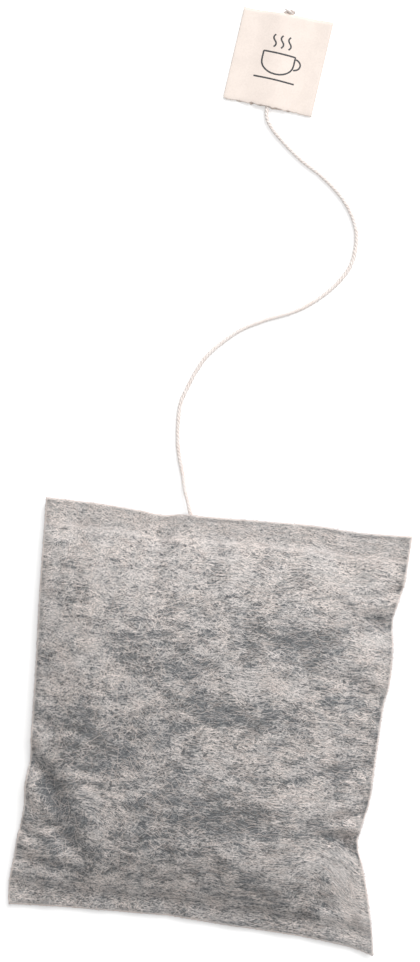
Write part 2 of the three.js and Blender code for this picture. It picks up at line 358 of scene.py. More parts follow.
def fibre_tree():
    """Geometry Nodes group: flat fibres strewn over a mesh and laid on its surface. They follow X,
    the more so where the mesh's value "combed" is larger, and only grow where its value "sown" is
    over 0.9. Rise stands them up from the surface instead."""
    tree = bpy.data.node_groups.new("Strewn Fibres", "GeometryNodeTree")
    add_socket(tree, "Geometry", "INPUT", "NodeSocketGeometry")
    for name, default in FIBRE_INPUTS.items():
        kind = "NodeSocketInt" if isinstance(default, int) else "NodeSocketFloat"
        add_socket(tree, name, "INPUT", kind, default)
    add_socket(tree, "Material", "INPUT", "NodeSocketMaterial")
    add_socket(tree, "Geometry", "OUTPUT", "NodeSocketGeometry")
    given = tree.nodes.new("NodeGroupInput").outputs
    result = tree.nodes.new("NodeGroupOutput")
    mesh = given["Geometry"]
    sown = math_node(tree, "GREATER_THAN", named_value(tree, "sown"), 0.9)
    inputs = {"Mesh": mesh, "Selection": sown, "Density": given["Density"], "Seed": given["Seed"]}
    strewn = add_node(tree, "GeometryNodeDistributePointsOnFaces", inputs).outputs
    inputs = {
        "Size X": given["Length"], "Size Y": given["Width"], "Vertices X": POINTS_ALONG, "Vertices Y": 2,
    }
    strip = add_node(tree, "GeometryNodeMeshGrid", inputs).outputs["Mesh"]
    longer = random_value(tree, *LENGTH_SHARES, math_node(tree, "ADD", given["Seed"], LENGTH_SEED))
    scale = add_node(tree, "ShaderNodeCombineXYZ", {"X": longer, "Y": 1.0, "Z": 1.0}).outputs[0]
    rotation = fibre_rotation(tree, given, strewn["Normal"])
    inputs = {"Points": strewn["Points"], "Instance": strip, "Rotation": rotation, "Scale": scale}
    fibres = add_node(tree, "GeometryNodeInstanceOnPoints", inputs).outputs[0]
    tone = random_value(tree, 0.0, 1.0, math_node(tree, "ADD", given["Seed"], TONE_SEED))
    inputs = {"Geometry": fibres, "Name": "tone", "Value": tone}
    fibres = add_node(tree, "GeometryNodeStoreNamedAttribute", inputs, domain="INSTANCE").outputs[0]
    fibres = add_node(tree, "GeometryNodeRealizeInstances", {"Geometry": fibres}).outputs[0]
    place = add_node(tree, "GeometryNodeInputPosition").outputs[0]
    fibres = bend_fibres(tree, fibres, given, place)
    fibres = lay_fibres(tree, fibres, given, place, mesh)
    inputs = {"Geometry": fibres, "Material": given["Material"]}
    fibres = add_node(tree, "GeometryNodeSetMaterial", inputs).outputs[0]
    tree.links.new(fibres, result.inputs["Geometry"])
    return tree


def strew_fibres(name, carrier_mesh, sown, material, **changes):
    """A plain mesh of fibres on a mesh, where its points' value sown is 1."""
    tree = bpy.data.node_groups.get("Strewn Fibres") or fibre_tree()
    mesh = carrier_mesh.copy()
    made = mesh.attributes.new("sown", "FLOAT", "POINT")
    made.data.foreach_set("value", np.asarray(sown, np.float32).ravel())
    carrier = bpy.data.objects.new("carrier", mesh)
    bpy.context.scene.collection.objects.link(carrier)
    modifier = carrier.modifiers.new("fibres", "NODES")
    modifier.node_group = tree
    values = {**FIBRE_INPUTS, **changes, "Material": material}
    for item in tree.interface.items_tree:
        if item.in_out == "INPUT" and item.name in values:
            modifier[item.identifier] = values[item.name]
    evaluated = carrier.evaluated_get(bpy.context.evaluated_depsgraph_get())
    grown = bpy.data.meshes.new_from_object(evaluated)
    carrier.modifiers.remove(modifier)
    bpy.data.objects.remove(carrier)
    bpy.data.meshes.remove(mesh)
    grown.name = name
    piece = bpy.data.objects.new(name, grown)
    bpy.context.scene.collection.objects.link(piece)
    return piece


def number_setting(name, description, default):
    """A plain number that the user can change."""
    return bpy.props.FloatProperty(name=name, description=description, default=default)


def length_setting(name, description, default):
    """A length that the user can change."""
    return bpy.props.FloatProperty(
        name=name, description=description, default=default, unit="LENGTH"
    )


def colour_setting(name, description, default):
    """A colour that the user can change."""
    return bpy.props.FloatVectorProperty(
        name=name, description=description, default=default, size=3, subtype="COLOR"
    )


class BagSettings(bpy.types.PropertyGroup):
    """Sizes and colours of the filled bag."""

    top_seal: length_setting("Top seal", "Width of the sealed band at the top", 5.6 * MM)
    bottom_seal: length_setting("Bottom seal", "Width of the sealed band at the bottom", 4.4 * MM)
    cloth_edge: length_setting("Cloth edge", "Thickness of two pressed layers of cloth", 0.36 * MM)
    cell: length_setting("Cell", "Size of the cells of the cloth mesh", 0.52 * MM)
    sim_stride: bpy.props.IntProperty(
        name="Simulation stride", description="Cells of the mesh in one cell of the simulated cloth",
        default=4,
    )
    slack: number_setting("Slack", "Share by which the cloth is larger than its pressed shape", 0.03)
    fibre_colour: colour_setting("Fibre", "Colour of the cloth's fibres", (0.90, 0.80, 0.752))
    coffee_colour: colour_setting(
        "Coffee", "Colour of the coffee seen through the cloth", (0.10, 0.094, 0.091)
    )


class StringSettings(bpy.types.PropertyGroup):
    """Sizes and colour of the twisted string."""

    diameter: length_setting("Diameter", "Diameter over the twisted plies", 0.95 * MM)
    twist: length_setting("Twist", "Length of one turn of the plies", 2.6 * MM)
    colour: colour_setting("Colour", "Colour of the cotton", (0.99, 0.93, 0.895))


class TagSettings(bpy.types.PropertyGroup):
    """Sizes and colours of the folded card tag."""

    leaf: length_setting("Leaf", "Thickness of one leaf of the card", 0.24 * MM)
    card_colour: colour_setting("Card", "Colour of the card", (0.985, 0.87, 0.795))
    ink_colour: colour_setting("Ink", "Colour of the printed line drawing", (0.055, 0.058, 0.062))


class StageSettings(bpy.types.PropertyGroup):
    """Camera and lights."""

    lens: number_setting("Lens", "Focal length of the camera in millimetres", 85.0)
    sky: number_setting("Sky", "Strength of the light from all round", 0.42)
    key: number_setting("Key", "Power of the large lamp in watts", 15.0)


class STEEPBAG_OT_camera(bpy.types.Operator):
    """Add the camera that looks straight down at the bag, as the photograph does"""

    bl_idname = "steepbag.camera"
    bl_label = "Add Camera"

    def execute(self, context):
        settings = context.scene.steepbag_stage
        data = bpy.data.cameras.new("camera")
        data.lens = settings.lens
        data.sensor_width = SENSOR
        distance = VIEW_HEIGHT * MM * settings.lens / SENSOR
        camera = bpy.data.objects.new("camera", data)
        low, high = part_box("filter_bag")
        middle = (low + high) / 2
        camera.location = (
            middle.x + VIEW_MIDDLE[0] * MM,
            middle.y + VIEW_MIDDLE[1] * MM,
            distance,
        )
        camera.rotation_euler = (0, 0, math.radians(VIEW_TURN))
        context.scene.collection.objects.link(camera)
        context.scene.camera = camera
        return {"FINISHED"}


def string_exit():
    """The point on the top seal's edge that the string leaves, from the end of its CAD solid."""
    points = np.array([v.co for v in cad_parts["string"].data.vertices])
    end_ring = points[points[:, 1] < points[:, 1].min() + 0.6 * MM]
    return Vector(end_ring.mean(axis=0)) - Vector((0, CAD_FIT_GAP, 0))


def tag_axis():
    """Direction of the tag's long axis."""
    return Matrix.Rotation(math.radians(TAG_TURN), 3, "Z") @ Vector((0, 1, 0))


def tag_placing():
    """The turn and move that put a tag drawn at the origin, foot first, on the string's end."""
    exit_point = string_exit()
    x, y = STRING_ROUTE[-1]
    foot = Matrix.Translation((exit_point.x + x, exit_point.y + y, 0))
    return foot @ Matrix.Rotation(math.radians(TAG_TURN), 4, "Z")


def tag_size():
    """Width and middle length of the tag, from its CAD solid."""
    back = tag_placing().inverted()
    points = np.array([back @ v.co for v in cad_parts["tag"].data.vertices])
    width = float(np.ptp(points[:, 0]))
    length = float(points[:, 1].max()) - width / 2 * TAG_FAR_SLANT
    return width, length


def spline_points(points, step):
    """Evenly spaced points on a smooth curve through the given points."""
    rows = np.array([tuple(p) for p in points])
    steps = np.linalg.norm(np.diff(rows, axis=0), axis=1)
    places = np.concatenate([[0], np.cumsum(np.sqrt(steps))])
    slopes = np.gradient(rows, places, axis=0)
    fine = []
    for i in range(len(rows) - 1):
        span = places[i + 1] - places[i]
        for t in np.linspace(0, 1, 40, endpoint=False):
            start = (2 * t**3 - 3 * t**2 + 1) * rows[i] + (t**3 - 2 * t**2 + t) * span * slopes[i]
            end = (-2 * t**3 + 3 * t**2) * rows[i + 1] + (t**3 - t**2) * span * slopes[i + 1]
            fine.append(start + end)
    fine.append(rows[-1])
    fine = np.array(fine)
    run = np.concatenate([[0], np.cumsum(np.linalg.norm(np.diff(fine, axis=0), axis=1))])
    even = np.linspace(0, run[-1], max(2, round(run[-1] / step)) + 1)
    return np.stack([np.interp(even, run, fine[:, k]) for k in range(3)], axis=1)


def string_path(diameter, leaf):
    """The string's centre line, from inside the top seal to its tail past the tag."""
    exit_point = string_exit()
    lying = diameter / 2 + FLOOR_GAP
    in_tag = leaf + diameter / 2
    points = [exit_point - Vector((0, HELD_LENGTH * share, 0)) for share in (1, 0.5)]
    last = len(STRING_ROUTE) - 1
    for i, (x, y) in enumerate(STRING_ROUTE):
        down = smooth(y, 0, STRING_DESCENT)
        up = smooth(i, last - TAG_CLIMB_STEPS, last)
        low = exit_point.z + (lying - exit_point.z) * down
        points.append(Vector((exit_point.x + x, exit_point.y + y, low + (in_tag - low) * up)))
    way = tag_axis() * (tag_size()[1] + TAIL_LENGTH)
    points += [points[-1] + way * share for share in TAG_RUN_SHARES]
    return spline_points(points, STRING_STEP)


def moving_frame(path):
    """Two directions across a path at each of its points, turning as little as possible."""
    along = np.gradient(path, axis=0)
    along /= np.linalg.norm(along, axis=1)[:, None]
    side = np.cross(along[0], (0, 0, 1))
    sides = []
    for direction in along:
        side = side - direction * np.dot(side, direction)
        side = side / np.linalg.norm(side)
        sides.append(side)
    sides = np.array(sides)
    return sides, np.cross(sides, along)


def tube_faces(first, rings, sides):
    """Faces of a closed tube whose rings of points follow each other from a number."""
    faces = []
    for i in range(rings - 1):
        for k in range(sides):
            a = first + i * sides + k
            b = first + i * sides + (k + 1) % sides
            faces.append((a, b, b + sides, a + sides))
    last = first + (rings - 1) * sides
    faces.append(tuple(first + k for k in reversed(range(sides))))
    faces.append(tuple(last + k for k in range(sides)))
    return faces


def ply_tubes(path, diameter, twist, plies=3, sides=8):
    """Vertices and faces of plies twisted round a path, each a closed tube. They part at its end."""
    across, up = moving_frame(path)
    run = np.concatenate([[0], np.cumsum(np.linalg.norm(np.diff(path, axis=0), axis=1))])
    ply_radius = diameter * PLY_RADIUS_SHARE
    offset = diameter / 2 - ply_radius
    parting = PARTING * smooth(run, run[-1] - PARTING_START, run[-1] - PARTING_END)
    vertices, faces = [], []
    ring_angles = np.linspace(0, 2 * math.pi, sides, endpoint=False)
    for ply in range(plies):
        turn = 2 * math.pi * (run / twist + ply / plies)
        uneven = np.array([noise.noise(Vector((s / UNEVEN_LENGTH, 9.3 * ply, 0.4))) for s in run])
        reach = offset * (1 + UNEVEN_REACH * uneven) + parting
        centres = path + reach[:, None] * (np.cos(turn)[:, None] * across + np.sin(turn)[:, None] * up)
        radius = ply_radius * (1 + UNEVEN_RADIUS * np.roll(uneven, 5)) + PARTING_SWELL * parting
        faces += tube_faces(len(vertices), len(path), sides)
        for i in range(len(path)):
            for angle in ring_angles:
                direction = math.cos(angle) * across[i] + math.sin(angle) * up[i]
                x, y, z = centres[i] + radius[i] * direction
                vertices.append((x, y, max(z, LEAST_HEIGHT)))
    return vertices, faces


def mottled_material(name, colour, tint, fine, broad, shares, lit, relief, **constants):
    """A matt material whose colour varies with a fine and a broad noise, with fine bumps."""
    material, tree, shader = new_material(name, **constants)
    place = add_node(tree, "ShaderNodeTexCoord").outputs["Object"]
    fine = noise_node(tree, place, *fine)
    broad = noise_node(tree, place, *broad)
    share = stretch_range(tree, weigh(tree, fine, shares[0], broad, shares[1]), *lit)
    mixed = mix_colours(tree, share, tinted(colour, tint), tinted(colour))
    tree.links.new(mixed, shader.inputs["Base Color"])
    add_relief(tree, shader, fine, *relief)
    return material


def cotton_material(settings):
    """Matt twisted cotton, mottled a little darker by fine noise as painted shade between its strands."""
    # The darker tint is painted shade between the strands
    return mottled_material(
        "cotton", settings.colour, tint=(0.93, 0.87, 0.84), fine=(5200.0, 3.0), broad=(420.0, 2.0),
        shares=(0.7, 0.5), lit=(0.42, 0.72), relief=(0.05 * MM, 0.7), Roughness=0.92, Sheen_Weight=0.25,
    )


class STEEPBAG_OT_string(bpy.types.Operator):
    """Add the twisted cotton string, from the top seal to its tail past the tag"""

    bl_idname = "steepbag.string"
    bl_label = "Add String"

    def execute(self, context):
        settings = context.scene.steepbag_string
        leaf = context.scene.steepbag_tag.leaf
        path = string_path(settings.diameter, leaf)
        vertices, faces = ply_tubes(path, settings.diameter, settings.twist)
        cord = finish_piece("cotton_string", vertices, faces, cotton_material(settings))
        face_outwards(cord)
        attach(cord, "root")
        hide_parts("string")
        return {"FINISHED"}


def card_material(settings):
    """Smooth uncoated card with faint fibres."""
    return mottled_material(
        "tag_card", settings.card_colour, tint=0.94, fine=(2600.0, 4.0), broad=(260.0, 2.0),
        shares=(0.6, 0.6), lit=(0.45, 0.75), relief=(0.02 * MM, 0.5), Roughness=0.78,
    )


def leaf_height(x, y, diameter, length):
    """Height of the gap between the two leaves: a tent over the string, widest at the cut ends."""
    reach = TENT_REACH + TENT_FLARE * np.abs(2 * y / length - 1)
    share = np.clip(np.abs(x) / reach, 0, 1)
    return diameter * np.cos(share * math.pi / 2) ** 2


def card_section(width, leaf, bends=7, across=30):
    """Places along the folded card from the lower leaf's open edge round the fold to the upper
    leaf's open edge: place across, share of the gap's height, and angle of the outward normal."""
    rows = []
    fold_x = -width / 2 + leaf
    for x in np.linspace(width / 2, fold_x, across):
        rows.append((x, 0.0, -math.pi / 2))
    for angle in np.linspace(-math.pi / 2, -1.5 * math.pi, bends + 2)[1:-1]:
        rows.append((fold_x + 0.5 * leaf * math.cos(angle), 0.5 + 0.5 * math.sin(angle), angle))
    for x in np.linspace(fold_x, width / 2, across):
        rows.append((x, 1.0, math.pi / 2))
    return rows


def edge_wander(x, level, share):
    """How far an edge of the card wanders: ragged near the bag, almost straight at the far end."""
    ragged = 0
    for height, wave, seed in TORN_WAVES:
        ragged += height * noise.noise(Vector((x / wave, seed + level, 0)))
    height, wave, seed = CUT_WAVE
    straight = height * noise.noise(Vector((x / wave, seed, 5)))
    return ragged * (1 - smooth(share, *RAGGED_EDGE)) + straight * smooth(share, *WAVY_EDGE)


def build_tag(settings, diameter):
    """The folded card: both leaves and the fold in one closed strip, with a ragged near edge."""
    width, length = tag_size()
    leaf = settings.leaf
    rows = card_section(width, leaf)
    vertices = []
    for share in CARD_STATIONS:
        for x, level, angle in rows:
            y = share * length + edge_wander(x, level, share)
            y += x * (TAG_NEAR_SLANT + (TAG_FAR_SLANT - TAG_NEAR_SLANT) * share)
            gap = leaf_height(x, y, diameter, length)
            curl = CARD_CURL * smooth(abs(x) / width, *CURLED_WIDTH) * smooth(share, *CURLED_LENGTH)
            curl = curl * (LOWER_CURL + (1 - LOWER_CURL) * level)
            middle = leaf / 2 + level * (leaf + gap) + curl
            normal = Vector((math.cos(angle), 0, math.sin(angle)))
            torn = TORN_THICKNESS + (1 - TORN_THICKNESS) * float(smooth(share, *THIN_EDGE))
            for side in (0.5, -0.5):
                vertices.append(Vector((x, y, middle)) + normal * leaf * torn * side)
    return vertices, folded_faces(len(CARD_STATIONS), len(rows))


def folded_faces(stations, rows):
    """Faces of the card's closed strip: its outer and inner side, open edges and cut ends."""

    def corner(station, row, side):
        return (station * rows + row) * 2 + side

    faces = []
    for s in range(stations - 1):
        for r in range(rows - 1):
            faces.append((corner(s, r, 0), corner(s, r + 1, 0), corner(s + 1, r + 1, 0), corner(s + 1, r, 0)))
            faces.append((corner(s, r, 1), corner(s + 1, r, 1), corner(s + 1, r + 1, 1), corner(s, r + 1, 1)))
        for r in (0, rows - 1):
            faces.append((corner(s, r, 0), corner(s + 1, r, 0), corner(s + 1, r, 1), corner(s, r, 1)))
    for s in (0, stations - 1):
        for r in range(rows - 1):
            faces.append((corner(s, r, 0), corner(s, r, 1), corner(s, r + 1, 1), corner(s, r + 1, 0)))
    return faces


def drawing_lines():
    """The printed drawing, in millimetres from the middle of the tag: a cup, its handle, its
    saucer and steam."""
    cup = [(-3.6, 0.9)]
    for i in range(13):
        angle = math.pi + math.pi * i / 12
        cup.append((3.6 * math.cos(angle), -1.1 + 2.7 * math.sin(angle)))
    cup += [(3.6, 0.9), (-3.6, 0.9)]
    handle = []
    for i in range(11):
        angle = math.radians(78 - 160 * i / 10)
        handle.append((3.5 + 1.55 * math.cos(angle), -0.75 + 1.25 * math.sin(angle)))
    saucer = [(-4.6, -5.0), (4.6, -5.0)]
    steam = []
    for middle in (-1.7, 0.0, 1.7):
        rise = [2.1 + 0.28 * i for i in range(11)]
        steam.append([(middle + 0.42 * math.sin((y - 2.1) * 2.2), y) for y in rise])
    return [cup, handle, saucer, *steam]


def ink_ribbon(line, width, height_at):
    """Vertices and faces of a flat printed stroke along a line."""
    points = np.array(line) * MM
    steps = np.linalg.norm(np.diff(points, axis=0), axis=1)
    run = np.concatenate([[0], np.cumsum(steps)])
    even = np.linspace(0, run[-1], max(2, round(run[-1] / (0.25 * MM))) + 1)
    points = np.stack([np.interp(even, run, points[:, k]) for k in range(2)], axis=1)
    along = np.gradient(points, axis=0)
    along /= np.linalg.norm(along, axis=1)[:, None]
    across = np.stack([-along[:, 1], along[:, 0]], axis=1)
    vertices, faces = [], []
    for i, (point, side) in enumerate(zip(points, across)):
        for edge in (0.5, -0.5):
            x, y = point + side * width * edge
            vertices.append(Vector((x, y, height_at(x, y))))
        if i:
            a = 2 * i
            faces.append((a - 2, a - 1, a + 1, a))
    return vertices, faces


def build_print(card_vertices, card_faces):
    """All the strokes of the drawing, laid on the card's upper face."""
    card = BVHTree.FromPolygons(card_vertices, card_faces)
    middle = tag_size()[1] * 0.53
    stroke = 0.36 * MM
    lift = 0.02 * MM
    above = 10 * MM

    def height_at(x, y):
        hit = card.ray_cast(Vector((x, y + middle, above)), Vector((0, 0, -1)))[0]
        return hit.z + lift

    vertices, faces = [], []
    for line in drawing_lines():
        strip, strip_faces = ink_ribbon(line, stroke, height_at)
        first = len(vertices)
        vertices += [v + Vector((0, middle, 0)) for v in strip]
        faces += [tuple(first + i for i in reversed(face)) for face in strip_faces]
    return vertices, faces


def ink_material(settings):
    """Dull printed ink, a little thin in places."""
    material, tree, shader = new_material("print_ink", Roughness=0.6)
    place = add_node(tree, "ShaderNodeTexCoord").outputs["Object"]
    thin = stretch_range(tree, noise_node(tree, place, scale=3800.0, detail=2.0), 0.5, 0.75)
    pale = tinted(np.array(settings.ink_colour) + 0.09)
    mixed = mix_colours(tree, thin, tinted(settings.ink_colour), pale)
    tree.links.new(mixed, shader.inputs["Base Color"])
    return material


class STEEPBAG_OT_tag(bpy.types.Operator):
    """Add the folded card tag and its printed drawing"""

    bl_idname = "steepbag.tag"
    bl_label = "Add Tag"

    def execute(self, context):
        settings = context.scene.steepbag_tag
        diameter = context.scene.steepbag_string.diameter
        placing = tag_placing()
        vertices, faces = build_tag(settings, diameter)
        tag = finish_piece("card_tag", [placing @ v for v in vertices], faces, card_material(settings))
        face_outwards(tag)
        vertices, faces = build_print(vertices, faces)
        ink = finish_piece("tag_print", [placing @ v for v in vertices], faces, ink_material(settings))
        for piece in (tag, ink):
            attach(piece, "root")
        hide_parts("tag")
        return {"FINISHED"}


def cad_surface():
    """The CAD bag as a tree for rays, and the points of its outline in plan, in order."""
    bm = bmesh.new()
    bm.from_mesh(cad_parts["filter_bag"].data)
    bmesh.ops.remove_doubles(bm, verts=bm.verts, dist=0.001 * MM)
    bm.normal_update()
    walls = {v for f in bm.faces if abs(f.normal.z) < 0.3 for v in f.verts}
    outline = {(round(v.co.x, 6), round(v.co.y, 6)) for v in walls}
    rays = BVHTree.FromBMesh(bm)
    bm.free()
    middle = np.mean(list(outline), axis=0)
    ordered = sorted(outline, key=lambda p: math.atan2(p[1] - middle[1], p[0] - middle[0]))
    return rays, np.array(ordered)


def outline_sides(outline):
    """The outline cut at its four corners: bottom, top, left and right, each from its low end."""
    corners = {}
    for name, sign in {"bl": (-1, -1), "br": (1, -1), "tr": (1, 1), "tl": (-1, 1)}.items():
        corners[name] = int(np.argmax(outline @ np.array(sign)))

    def stretch(start, end):
        span = (corners[end] - corners[start]) % len(outline)
        return outline[[(corners[start] + i) % len(outline) for i in range(span + 1)]]

    bottom, right = stretch("bl", "br"), stretch("br", "tr")
    top, left = stretch("tr", "tl")[::-1], stretch("tl", "bl")[::-1]
    return bottom, top, left, right


def along_line(line, shares):
    """Points at shares of a line's length."""
    steps = np.linalg.norm(np.diff(line, axis=0), axis=1)
    run = np.concatenate([[0], np.cumsum(steps)]) / steps.sum()
    return np.stack([np.interp(shares, run, line[:, k]) for k in range(2)], axis=1)


def plan_grid(outline, columns, rows):
    """Places in plan of a grid that fills the outline, by rows from the bottom."""
    bottom, top, left, right = outline_sides(outline)
    u = np.linspace(0, 1, columns + 1)
    v = np.linspace(0, 1, rows + 1)
    low, high = along_line(bottom, u)[None], along_line(top, u)[None]
    west, east = along_line(left, v)[:, None], along_line(right, v)[:, None]
    us, vs = u[None, :, None], v[:, None, None]
    corners = (1 - us) * (1 - vs) * low[0, 0] + us * (1 - vs) * low[0, -1]
    corners = corners + (1 - us) * vs * high[0, 0] + us * vs * high[0, -1]
    return (1 - us) * west + us * east + (1 - vs) * low + vs * high - corners


def ray_heights(rays, grid):
    """Heights of the CAD bag's back and front under each place of the grid."""
    middle = grid.reshape(-1, 2).mean(axis=0)
    inside = grid + (middle - grid) * 0.006
    sky = 0.1
    back, front = np.zeros(grid.shape[:2]), np.zeros(grid.shape[:2])
    for i in range(grid.shape[0]):
        for j in range(grid.shape[1]):
            x, y = inside[i, j]
            front[i, j] = rays.ray_cast(Vector((x, y, sky)), Vector((0, 0, -1)))[0].z
            back[i, j] = rays.ray_cast(Vector((x, y, -sky)), Vector((0, 0, 1)))[0].z
    return back, front


def soften(heights, times):
    """Heights averaged with their neighbours, with the edges averaged along themselves."""
    for _ in range(times):
        wide = np.pad(heights, 1, mode="edge")
        around = wide[:-2, 1:-1] + wide[2:, 1:-1] + wide[1:-1, :-2] + wide[1:-1, 2:]
        heights = 0.4 * heights + 0.15 * around
    return heights


def noise_grid(grid, height, size, seed, octaves):
    """Smooth noise over the grid, about as high and as deep as given, with lumps of the size."""
    values = np.zeros(grid.shape[:2])
    for i in range(grid.shape[0]):
        for j in range(grid.shape[1]):
            place = Vector((grid[i, j, 0] / size, grid[i, j, 1] / size, seed))
            values[i, j] = noise.fractal(place, 1.0, 2.0, octaves)
    return height * values


# Folds in the front as the photograph shows them: from and to in millimetres from the bag's
# middle, depth and reach in millimetres
FOLDS = [
    ((38.6, 33.8), (31.0, 32.0), 1.1, 1.4),
    ((37.6, 27.2), (16.0, 20.0), 1.2, 3.2),
    ((37.6, 27.2), (33.0, 26.0), 1.2, 1.0),
    ((37.0, -13.0), (35.2, -22.3), 0.9, 2.2),
    ((34.0, -22.4), (37.6, -36.0), 1.3, 1.9),
    ((34.6, -22.4), (24.0, -20.0), 1.5, 1.7),
    ((32.1, -16.2), (25.4, -18.0), 1.0, 1.2),
    ((-39.4, -10.0), (-31.0, -18.5), 1.5, 2.0),
    ((-34.5, -17.0), (-24.0, -33.0), 1.1, 3.0),
    ((-39.0, -26.4), (-33.5, -29.5), 0.9, 1.3),
    ((-38.0, -33.5), (-28.0, -34.5), 0.8, 2.0),
    ((-14.7, 46.0), (-15.5, 37.0), 0.7, 1.8),
    ((-3.4, -44.5), (-2.2, -38.0), 0.6, 1.5),
    ((12.0, -20.0), (-6.0, -23.0), 0.6, 3.5),
]
# Places where coffee lies close under the cloth and darkens it, or where there is less of it: middle
# and half sizes in millimetres from the bag's middle, and how much
COFFEE_DRIFTS = [
    ((-14, 13), (13, 5), 0.45),
    ((4, 3), (16, 4), 0.5),
    ((5, -21), (13, 5), 0.5),
    ((-33, -21), (5, 8), 0.3),
    ((-24, -31), (10, 5), 0.3),
    ((18, 21), (15, 4), 0.5),
    ((-22, -8), (13, 6), 0.4),
    ((31, -9), (6, 5), 0.4),
    ((38, -34), (5, 12), -0.7),
    ((27, -14), (7, 3), -0.7),
    ((35, 24), (5, 4), -0.6),
    ((-29, 14), (6, 5), -0.5),
    ((12, 9), (10, 3), -0.6),
]
# Places where the cloth's fibres turn away from the width: middle and reach in millimetres from
# the bag's middle, and degrees
SWEEPS = [
    ((35, -32), 8, -52),
    ((-32, -24), 8, 38),
]


# A fold's profile: depth of the raised lips beside it and their distance, as shares of its depth
# and its reach, and the share of the depth that it loses towards its far end
LIP_DEPTH = 0.35
LIP_DISTANCE = 1.9
FOLD_FADE = 0.6

# The cloth solver works at ten times the size, because it is made for clothes
SOLVER_SCALE = 10
SOLVER_FRAMES = 20
SOLVER_SETTINGS = {
    "quality": 6,
    "mass": 0.15,
    "tension_stiffness": 25,
    "compression_stiffness": 12,
    "shear_stiffness": 6,
    "bending_stiffness": 0.08,
    "use_pressure": True,
    "uniform_pressure_force": 3.0,
    "vertex_group_mass": "held",
}


def fold_depths(plan, middle):
    """Depth of all the folds at each place of the plan, each deepest at the end it starts from."""
    depth = np.zeros(plan.shape[:2])
    places = (plan - np.array(middle[:2])) / MM
    for start, end, deep, reach in FOLDS:
        start, run = np.array(start), np.array(end) - np.array(start)
        share = np.clip(((places - start) @ run) / (run @ run), 0, 1)
        away = np.linalg.norm(places - start - share[..., None] * run, axis=-1)
        lips = LIP_DEPTH * np.exp(-(((away - LIP_DISTANCE * reach) / reach) ** 2))
        sharp = np.exp(-((away / reach) ** 2)) - lips
        depth = depth + deep * MM * (1 - FOLD_FADE * share) * sharp
    return depth


def simulate_cloth(vertices, faces, held, slack):
    """Places of the points after cloth a little too large is blown up from inside."""
    piece = finish_piece("cloth_trial", np.array(vertices) * SOLVER_SCALE, faces, None)
    group = piece.vertex_groups.new(name="held")
    for index, weight in enumerate(held):
        if weight > 0:
            group.add([index], float(weight), "REPLACE")
    modifier = piece.modifiers.new("cloth", "CLOTH")
    for name, value in SOLVER_SETTINGS.items():
        setattr(modifier.settings, name, value)
    modifier.settings.shrink_min = -slack
    modifier.settings.shrink_max = -slack
    modifier.settings.effector_weights.gravity = 0
    modifier.collision_settings.use_collision = False
    scene = bpy.context.scene
    for number in range(1, SOLVER_FRAMES + 1):
        scene.frame_set(number)
    evaluated = piece.evaluated_get(bpy.context.evaluated_depsgraph_get())
    places = np.zeros(len(vertices) * 3)
    evaluated.data.vertices.foreach_get("co", places)
    mesh = piece.data
    bpy.data.objects.remove(piece)
    bpy.data.meshes.remove(mesh)
    scene.frame_set(1)
    return places.reshape(-1, 3) / SOLVER_SCALE


def refine_grid(coarse, rows, columns):
    """Values of a coarse grid at the points of a finer one."""
    lows = np.linspace(0, 1, coarse.shape[0]), np.linspace(0, 1, coarse.shape[1])
    fines = np.linspace(0, 1, rows), np.linspace(0, 1, columns)
    tall = np.stack([np.interp(fines[0], lows[0], column) for column in coarse.T], axis=1)
    return np.stack([np.interp(fines[1], lows[1], row) for row in tall], axis=0)


def grid_faces(rows, columns):
    """Faces of a front and a back grid with the same outline, and of the rim between them."""
    count = rows * columns
    index = np.arange(count).reshape(rows, columns)
    a, b = index[:-1, :-1].ravel(), index[:-1, 1:].ravel()
    c, d = index[1:, 1:].ravel(), index[1:, :-1].ravel()
    rim = np.concatenate([index[0, :-1], index[:-1, -1], index[-1, :0:-1], index[:0:-1, 0]])
    following = np.roll(rim, -1)
    quads = [
        np.stack([a, b, c, d], axis=1),
        np.stack([d, c, b, a], axis=1) + count,
        np.stack([rim + count, following + count, following, rim], axis=1),
    ]
    return [tuple(face) for face in np.concatenate(quads).tolist()]


# The bag's solid has this thickness at its edges
CAD_CLOTH_EDGE = 0.6 * MM
# Half the height that the string adds to the seal, as a share of its diameter, and the most of the
# filling's thickness that a fold takes
RIDGE_SHARE = 0.42
FOLD_LIMIT = 0.6
# Where the string's ridge in the seal fades out: across, and along from the bag's end
RIDGE_ACROSS = (0.4 * MM, 1.7 * MM)
RIDGE_ALONG = (3.8 * MM, 6.4 * MM)
# How far before and past a seal's edge the cloth opens
SEAL_BEFORE = 0.5 * MM
SEAL_PAST = 0.3 * MM
# Waves of the seals and lumps of the coffee: height, size, seed and octaves
SEAL_WAVES = (0.10 * MM, 6 * MM, 2.5, 2)
COFFEE_LUMPS = ((0.16 * MM, 5.5 * MM, 7.1, 3), (0.05 * MM, 1.7 * MM, 4.6, 2))
# The lap seam: place of its free edge across the bag, width and thickness
SEAM = -12 * MM
SEAM_WIDTH = 9 * MM
SEAM_THICKNESS = 0.12 * MM
SEAM_STEP = 0.5 * MM
# How often the solid's heights and the simulated swell are softened
SOLID_SOFTENING = 10
SWELL_SOFTENING = 4
# Thickness up to which the cloth's edge is thinned, and from which to which it counts as filled
THINNED_UP_TO = 2.5 * MM
FILLED_RANGE = (0.5 * MM, 5.5 * MM)
# Share of the coffee seen at the sides and how far in it rises, more of it and painted shade in a
# fold, half width of the pressed line, and where across the bag its fibres become combed
SIDE_COFFEE = 0.7
SIDE_REACH = 9 * MM
FOLD_COFFEE_AND_SHADE = 0.5
PRESSED_WIDTH = 0.5 * MM
COMBED_RANGE = (-0.5, 0.35)
# How much coffee shows along the bag, with painted shade on the bottom seal: shares of its length
# from the bottom, and how much
COFFEE_AND_SHADE_BY_LENGTH = (
    (0, 0.05, 0.25, 0.5, 0.8, 0.93, 1),
    (0.75, 0.8, 0.88, 0.92, 0.7, 0.45, -0.1),
)
